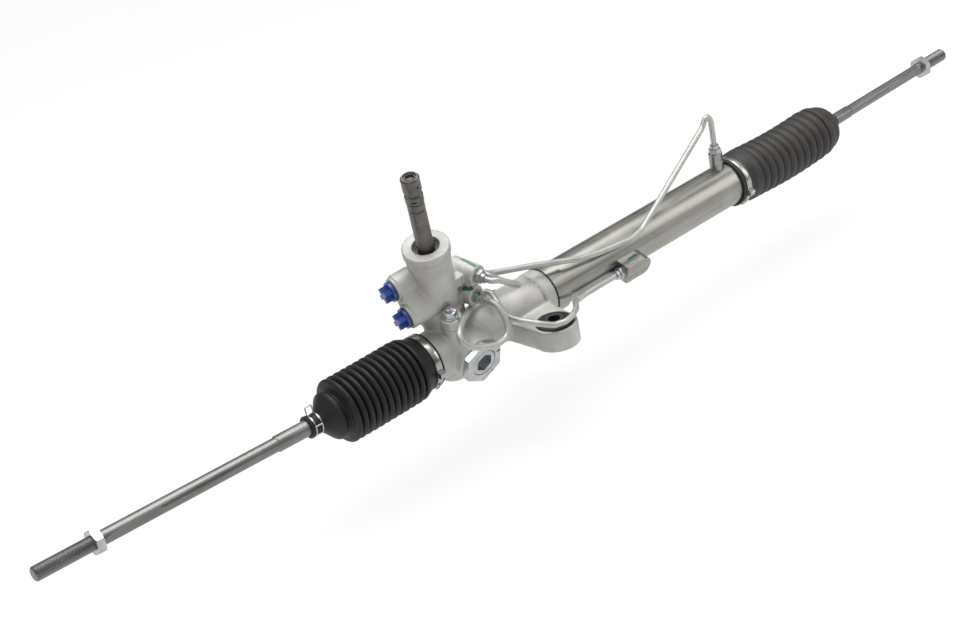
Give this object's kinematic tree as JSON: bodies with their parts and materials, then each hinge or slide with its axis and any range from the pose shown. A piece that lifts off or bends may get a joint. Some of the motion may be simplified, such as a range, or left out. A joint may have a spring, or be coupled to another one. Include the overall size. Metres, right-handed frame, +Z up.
{
  "type": "hydraulic steering rack",
  "caption": "Power steering rack: toothed bar and piston in a cast housing and tube, leaning valve tower with input shaft, oil pipes, bellows and threaded tie rods.",
  "frame": {"origin": "centre of the front mounting bore at the bottom face of its sleeve", "axes": "+X along the rack from the valve tower towards the cylinder tube, +Z up along the mounting bore, +Y from the front bush towards the rear bush"},
  "size_m": [1.2371, 0.155, 0.2437],
  "materials": {
    "cast_aluminium": "as-cast, shot blasted, matte",
    "machined_aluminium": "turned",
    "drawn_tube": "drawn, fine lengthwise marks",
    "zinc_steel": "bright zinc plate",
    "dark_steel": "dark phosphate",
    "machined_steel": "ground",
    "ground_steel": "ground and hardened",
    "shaft_steel": "bare, slightly brown",
    "rod_steel": "satin, dark",
    "clamp_steel": "bright stainless strip",
    "pipe_coating": "satin grey-green zinc coating",
    "bush_rubber": "matte",
    "seal_rubber": "matte",
    "bellows_rubber_left": "matte black",
    "bellows_rubber_right": "matte brownish black",
    "white_plastic": "plain",
    "blue_plastic": "plain"
  },
  "bodies": {
    "housing": {"rack_housing": "cast_aluminium", "valve_housing": "cast_aluminium", "valve_housing_bolts": "zinc_steel", "front_bush_shell": "dark_steel", "front_bush_rubber": "bush_rubber", "front_bush_sleeve": "dark_steel", "rear_bush_shell": "dark_steel", "rear_bush_rubber": "bush_rubber", "rear_bush_sleeve": "dark_steel", "cylinder_tube": "drawn_tube", "tube_collar": "drawn_tube", "inner_bulkhead": "machined_aluminium", "bulkhead_seal": "seal_rubber", "cylinder_end_cap": "machined_aluminium", "end_cap_seal": "seal_rubber", "pinion_lower_bearing": "machined_steel", "upper_bearing_outer_ring": "machined_steel", "pinion_cap": "machined_aluminium", "input_shaft_seal": "seal_rubber", "input_shaft_bearing": "machined_steel", "bearing_circlip": "dark_steel", "rack_yoke": "machined_aluminium", "yoke_adjusting_plug": "cast_aluminium", "yoke_lock_nut": "zinc_steel", "yoke_spring": "machined_steel", "bellows_left": "bellows_rubber_left", "bellows_right": "bellows_rubber_right", "large_clamp_left": "clamp_steel", "large_clamp_right": "clamp_steel", "long_oil_pipe": "pipe_coating", "looped_oil_pipe": "pipe_coating", "pipe_nuts": "zinc_steel", "port_plugs": "blue_plastic", "port_plug_seals": "seal_rubber"},
    "rack": {"rack_bar": "ground_steel", "piston": "machined_steel", "piston_ring": "white_plastic", "inner_ball_socket_left": "rod_steel", "inner_ball_socket_right": "rod_steel"},
    "pinion": {"pinion": "machined_steel", "pinion_nut": "zinc_steel", "upper_bearing_inner_ring": "machined_steel", "valve_sleeve": "machined_steel", "valve_sleeve_rings": "white_plastic"},
    "input_shaft": {"input_shaft": "shaft_steel", "torsion_bar": "shaft_steel", "torsion_bar_pin": "shaft_steel"},
    "ball_seat_left": {"ball_seat_left": "white_plastic"},
    "clip_left": {"small_clip_left": "clamp_steel"},
    "tie_rod_left": {"tie_rod_left": "rod_steel", "jam_nut_left": "zinc_steel"},
    "ball_seat_right": {"ball_seat_right": "white_plastic"},
    "clip_right": {"small_clip_right": "clamp_steel"},
    "tie_rod_right": {"tie_rod_right": "rod_steel", "jam_nut_right": "zinc_steel"}
  },
  "joints": [
    {"name": "rack_slide", "type": "slide", "parent": "housing", "child": "rack", "axis": [1, 0, 0], "range_m": [-0.097, 0.049], "deforming": ["bellows_left", "bellows_right"]},
    {"name": "pinion_turn", "type": "hinge", "parent": "housing", "child": "pinion", "pos_m": [-0.075, 0.07454, 0.02722], "axis": [-0.1607, -0.2136, 0.9636], "range_deg": [-796, 403]},
    {"name": "valve_twist", "type": "hinge", "parent": "pinion", "child": "input_shaft", "pos_m": [-0.075, 0.07454, 0.02722], "axis": [-0.1607, -0.2136, 0.9636], "range_deg": [-4.5, 4.5], "stiffness_Nm_per_rad": 80},
    {"name": "lift_left", "type": "hinge", "parent": "rack", "child": "ball_seat_left", "pos_m": [-0.219, 0.06, 0.024], "axis": [0, 1, 0], "range_deg": [-20, 20]},
    {"name": "swing_left", "type": "hinge", "parent": "ball_seat_left", "child": "clip_left", "pos_m": [-0.219, 0.06, 0.024], "axis": [0, 0, 1], "range_deg": [-10, 10]},
    {"name": "rod_spin_left", "type": "hinge", "parent": "clip_left", "child": "tie_rod_left", "pos_m": [-0.219, 0.06, 0.024], "axis": [-0.9992, 0, 0.0401], "continuous": true},
    {"name": "lift_right", "type": "hinge", "parent": "rack", "child": "ball_seat_right", "pos_m": [0.4675, 0.06, 0.024], "axis": [0, 1, 0], "range_deg": [-20, 20]},
    {"name": "swing_right", "type": "hinge", "parent": "ball_seat_right", "child": "clip_right", "pos_m": [0.4675, 0.06, 0.024], "axis": [0, 0, 1], "range_deg": [-10, 10]},
    {"name": "rod_spin_right", "type": "hinge", "parent": "clip_right", "child": "tie_rod_right", "pos_m": [0.4675, 0.06, 0.024], "axis": [0.9998, 0, 0.0175], "continuous": true}
  ],
  "couplings": [
    {"joint": "pinion_turn", "follows": "rack_slide", "rad_per_m": 142.86}
  ]
}
